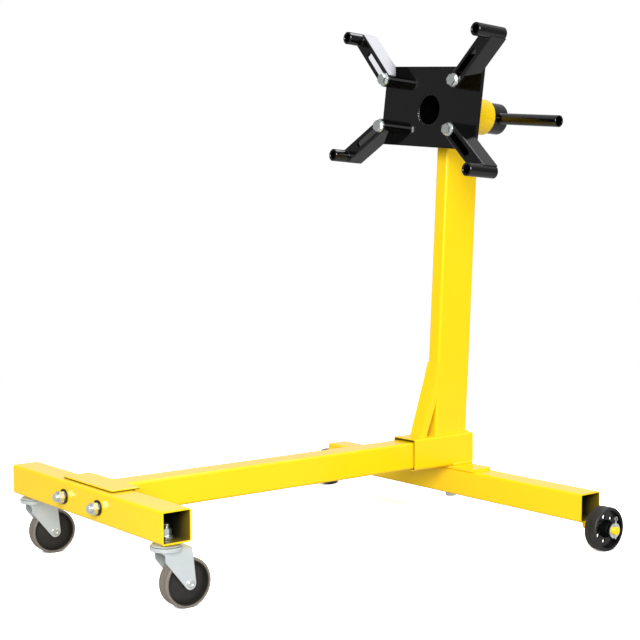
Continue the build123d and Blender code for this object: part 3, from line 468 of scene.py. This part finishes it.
def frame_welds():
    """Beads of the yellow frame, where its tubes and plates meet."""
    def add(name, corners, radius=bead, closed=False):
        weld(name, "frame", "yellow_paint", corners, radius, closed)

    beam_low, beam_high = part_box("main_beam")
    add("weld_beam_to_end_plate", box_loop("main_beam", beam_low[1], axis=1, grow=-0.0003), closed=True)

    _, plate_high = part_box("beam_top_plate")
    top = beam_high[2]
    for side, x in (("left", beam_low[0] + 0.002), ("right", beam_high[0] - 0.002)):
        add(f"weld_top_plate_rear_{side}", [(x * top_plate_gap, plate_high[1], top), (x, plate_high[1], top)])
        start = (x, beam_low[1] - end_plate_lap, top - bead_sink)
        add(f"weld_top_plate_{side}", [start, (x, plate_high[1] - 0.002, top - bead_sink)])

    saddle_low, saddle_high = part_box("saddle_plate")
    tube_low, tube_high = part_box("rear_cross_tube")
    receiver_low, receiver_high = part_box("receiver_tube")
    rear = tube_high[1] - bead_sink
    z = saddle_low[2]
    add("weld_saddle_rear", [(saddle_low[0] + corner_gap, rear, z), (saddle_high[0] - corner_gap, rear, z)])
    for side, x in (("left", saddle_low[0]), ("right", saddle_high[0])):
        start = (x, tube_low[1] + tube_edge_gap, z)
        add(f"weld_saddle_end_{side}", [start, (x, tube_high[1] - tube_edge_gap, z)])
    rear = receiver_high[1] - bead_sink
    z = saddle_high[2] + 0.0015
    for side, x in (("left", receiver_low[0] + bead_sink), ("right", receiver_high[0] - bead_sink)):
        add(f"weld_receiver_{side}", [(x, saddle_low[1] + corner_gap, z), (x, rear, z)], radius=1.5 * bead)
    z = saddle_high[2] + 0.001
    ends = [(receiver_low[0] + 0.004, rear, z), (receiver_high[0] - 0.004, rear, z)]
    add("weld_receiver_rear", ends, radius=1.2 * bead)

    # Foot of the post, which leans back: its front corners stand ahead of the tube's own box
    lean = forward.z / -forward.y
    post_low, post_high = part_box("post_tube")
    gusset_low, gusset_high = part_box("post_gusset")
    foot = post_low[2]
    rear = post_high[1] - lean * (post_high[2] - foot)
    front = post_low[1]
    left, right = post_low[0], post_high[0]
    loop = [(left, front, foot), (right, front, foot), (right, rear, foot), (left, rear, foot)]
    add("weld_post_foot", loop, radius=1.3 * bead, closed=True)
    gusset_top_y = front + lean * (gusset_high[2] - foot)
    sides = (("left", gusset_low[0] + gusset_bead_inset), ("right", gusset_high[0] - gusset_bead_inset))
    for side, x in sides:
        start = (x, front + lean * gusset_open, foot + gusset_open)
        end = (x, gusset_top_y - bead_sink, gusset_high[2] - 0.003)
        add(f"weld_gusset_post_{side}", [start, end], radius=0.8 * bead)
        start = (x, gusset_low[1] + bead_sink, foot)
        add(f"weld_gusset_foot_{side}", [start, (x, gusset_low[1] + gusset_foot_bead, foot)])
    front = gusset_low[1]
    add("weld_gusset_foot_front", [(gusset_low[0], front, foot), (gusset_high[0], front, foot)])

    # Sleeve on the coped top of the post
    half = post_high[0]
    drop = (sleeve_radius**2 - half**2) ** 0.5
    for side, x in (("left", -half), ("right", half)):
        seat = [pivot - forward * depth - up * drop + Vector((x, 0, 0)) for depth in sleeve_seat]
        add(f"weld_sleeve_{side}", seat, radius=1.2 * bead)

    for side, sign in (("left", -1), ("right", 1)):
        axle = Vector(joints[f"rear_roll_{side}"]["pos_m"])
        z = tube_low[2] - 0.0008
        for edge, offset in (("front", -axle_bead_offset), ("rear", axle_bead_offset)):
            y = axle.y + offset
            start = (sign * (tube_high[0] - axle_bead_end), y, z)
            end = (sign * (tube_high[0] - bead_sink), y, z)
            add(f"weld_axle_{side}_{edge}", [start, end], radius=0.8 * bead)


def head_welds():
    """Beads of the black head and arms."""
    black = "black_paint"
    # The bead behind the plate fits the gap before the sleeve
    ring = ring_points(pivot - forward * 0.0081, forward, head_tube_radius + 0.0002)
    weld("weld_head_tube_rear", "head", black, ring, small_bead, closed=True)
    # The bead in the hole stays behind the plate's face, where the arms slide
    ring = ring_points(pivot - forward * 0.0021, forward, head_tube_radius - 0.0006)
    weld("weld_head_tube_front", "head", black, ring, small_bead, closed=True)
    for name in arm_names:
        bolt = Vector(joints[f"arm_swing_{name}"]["pos_m"])
        outward = Vector(joints[f"arm_slide_{name}"]["axis"]).normalized()
        across = forward.cross(outward)
        centre = bolt + outward * arm_reach
        # The channel's sides meet the end tube beside its middle
        for label, sign in (("a", -1), ("b", 1)):
            foot = centre - outward * 0.0005 + across * sign * arm_tube_radius * 0.985
            ends = [foot + forward * 0.002, foot + forward * (arm_height - 0.002)]
            weld(f"weld_arm_{name}_{label}", f"arm_{name}", black, ends, small_bead)
        face = centre + forward * arm_height
        arc = ring_points(face, forward, arm_tube_radius, count=20, start=-pi / 2, sweep=pi, x_dir=-outward)
        weld(f"weld_arm_{name}_front", f"arm_{name}", black, arc, small_bead)


forward = Vector(joints["head_spin"]["axis"]).normalized()
pivot = Vector(joints["head_spin"]["pos_m"])
up = forward.cross(Vector((1, 0, 0))) * -1
arm_names = [name.replace("arm_swing_", "") for name in joints if name.startswith("arm_swing_")]
sleeve_radius = 0.0343
sleeve_seat = (0.019, 0.096)     # depth of the post's front and back behind the head plate's front
head_tube_radius = 0.03015
gusset_open = 0.068              # height of the open triangle behind the gusset
arm_reach = 0.1135               # bolt to the middle of the end tube
arm_tube_radius = 0.012
arm_height = 0.036               # channel's web above the plate
frame_welds()
head_welds()


def fastener_threads():
    """Ridges on the bolt ends that stand past their nuts."""
    low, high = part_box("front_bolts")
    nut_low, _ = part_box("front_nuts")
    bolt_z = (low[2] + high[2]) / 2
    head_radius = m12_across_corners / 2
    length = nut_low[1] - low[1] - thread_lead
    for side, x in (("left", low[0] + head_radius), ("right", high[0] - head_radius)):
        name = f"thread_front_bolt_{side}"
        end = (x, low[1], bolt_z)
        thread(name, "frame", end, (0, 1, 0), m12_radius, m12_pitch, thread_lead, length)
    _, stem_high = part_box("caster_stems")
    _, stem_nut_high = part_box("caster_stem_nuts")
    length = stem_high[2] - stem_nut_high[2] - thread_lead
    for side in ("left", "right"):
        swivel = Vector(joints[f"caster_swivel_{side}"]["pos_m"])
        foot = (swivel.x, swivel.y, stem_nut_high[2])
        thread(f"thread_stem_{side}", "frame", foot, (0, 0, 1), stem_radius, stem_pitch, 0.0, length)
    for name in arm_names:
        bolt = Vector(joints[f"arm_swing_{name}"]["pos_m"])
        body = f"arm_pivot_{name}"
        thread(f"thread_arm_bolt_{name}", body, bolt, -forward, m12_radius, m12_pitch, *arm_bolt_thread)


m12_radius = 0.006
m12_pitch = 0.00175
m12_across_corners = 0.0208
stem_radius = 0.004
stem_pitch = 0.00125
thread_lead = 0.001              # plain end of a bolt before its thread
arm_bolt_thread = (0.0185, 0.003)    # start behind the plate's front, and length
fastener_threads()

# ---------------------------------------------------------------- camera
azimuth = radians(51.86)          # from the casters' end (-Y) towards +X
elevation = radians(4.14)
roll = radians(-0.21)
camera_data = bpy.data.cameras.new("camera")
camera_data.lens = 74.75
camera_data.sensor_width = 36.0
camera = bpy.data.objects.new("camera", camera_data)
scene.collection.objects.link(camera)
camera.location = (1.855, -1.4305, 0.563)
back = Vector((sin(azimuth) * cos(elevation), -cos(azimuth) * cos(elevation), sin(elevation)))
camera.rotation_mode = "QUATERNION"
camera.rotation_quaternion = (-back).to_track_quat("-Z", "Y") @ Matrix.Rotation(roll, 3, "Z").to_quaternion()
camera_data.clip_end = 100.0
scene.camera = camera

# ---------------------------------------------------------------- studio
scene.view_settings.view_transform = "Standard"


def area_light(name, place, target, width, height, radiance, colour=(1, 1, 1)):
    """A softbox of that radiance, aimed at target."""
    data = bpy.data.lights.new(name, "AREA")
    data.shape = "RECTANGLE"
    data.size = width
    data.size_y = height
    data.energy = radiance * pi * width * height
    data.color = colour
    light = bpy.data.objects.new(name, data)
    scene.collection.objects.link(light)
    light.location = place
    light.rotation_mode = "QUATERNION"
    light.rotation_quaternion = (Vector(target) - Vector(place)).to_track_quat("-Z", "Y")


area_light("overhead", (0.0, 1.476, 2.684), (0, 0.126, 0.934), 1.1, 0.8, 7.5, (0.93, 0.93, 1.0))
area_light("key", (2.5, -2.6, 1.8), (0.1, 0, 0.35), 1.8, 1.8, 15.5)
area_light("side", (2.6, 1.0, 1.6), (0, 0.35, 0.7), 1.2, 1.2, 4.2)


def studio_world():
    """White backdrop; the lighting is a bright ceiling over a dim room with a paler wall at the left rear."""
    world = bpy.data.worlds.new("studio")
    world.use_nodes = True
    scene.world = world
    nodes, links = world.node_tree.nodes, world.node_tree.links

    def math(operation, first, second):
        node = nodes.new("ShaderNodeMath")
        node.operation = operation
        for socket, value in zip(node.inputs, (first, second)):
            if isinstance(value, (int, float)):
                socket.default_value = value
            else:
                links.new(value, socket)
        return node.outputs["Value"]

    def ramp(value, low, high, new_low, new_high):
        node = nodes.new("ShaderNodeMapRange")
        node.interpolation_type = "SMOOTHSTEP"
        links.new(value, node.inputs["Value"])
        set_range(node, low, high, new_low, new_high)
        return node.outputs["Result"]

    direction = nodes.new("ShaderNodeSeparateXYZ")
    links.new(nodes.new("ShaderNodeTexCoord").outputs["Generated"], direction.inputs["Vector"])
    ceiling = ramp(direction.outputs["Z"], 0.25, 0.75, 0.0, ceiling_radiance)
    to_left_rear = math("SUBTRACT", direction.outputs["Y"], direction.outputs["X"])
    below_ceiling = ramp(direction.outputs["Z"], 0.3, 0.6, 1.0, 0.0)
    wall = math("MULTIPLY", ramp(to_left_rear, 0.4, 1.2, 0.0, wall_radiance), below_ceiling)
    room = math("ADD", math("ADD", ceiling, wall), room_radiance)

    backdrop = nodes["Background"]
    backdrop.inputs["Color"].default_value = (1, 1, 1, 1)
    lighting = nodes.new("ShaderNodeBackground")
    lighting.inputs["Color"].default_value = (1, 1, 1, 1)
    links.new(room, lighting.inputs["Strength"])
    choose = nodes.new("ShaderNodeMixShader")
    links.new(nodes.new("ShaderNodeLightPath").outputs["Is Camera Ray"], choose.inputs["Fac"])
    links.new(lighting.outputs["Background"], choose.inputs[1])
    links.new(backdrop.outputs["Background"], choose.inputs[2])
    links.new(choose.outputs["Shader"], nodes["World Output"].inputs["Surface"])


def studio_floor():
    """Round white paper under the stand, bright enough to merge with the backdrop."""
    mesh = bpy.data.meshes.new("floor")
    form = bmesh.new()
    bmesh.ops.create_circle(form, cap_ends=True, segments=96, radius=floor_radius)
    form.to_mesh(mesh)
    form.free()
    floor = bpy.data.objects.new("floor", mesh)
    scene.collection.objects.link(floor)
    material = bpy.data.materials.new("paper")
    material.use_nodes = True
    nodes, links = material.node_tree.nodes, material.node_tree.links
    nodes.remove(nodes["Principled BSDF"])
    choose = nodes.new("ShaderNodeMixShader")
    links.new(nodes.new("ShaderNodeLightPath").outputs["Is Camera Ray"], choose.inputs["Fac"])
    for socket, whiteness in ((1, paper_white), (2, paper_exposed)):
        paper = nodes.new("ShaderNodeBsdfDiffuse")
        paper.inputs["Color"].default_value = (whiteness, whiteness, whiteness, 1)
        links.new(paper.outputs["BSDF"], choose.inputs[socket])
    links.new(choose.outputs["Shader"], nodes["Material Output"].inputs["Surface"])
    mesh.materials.append(material)


ceiling_radiance = 0.4
wall_radiance = 0.5
room_radiance = 0.3
floor_radius = 2.6
paper_white = 0.52           # for light that bounces off the paper
paper_exposed = 2.0          # as the camera sees it
studio_world()
studio_floor()
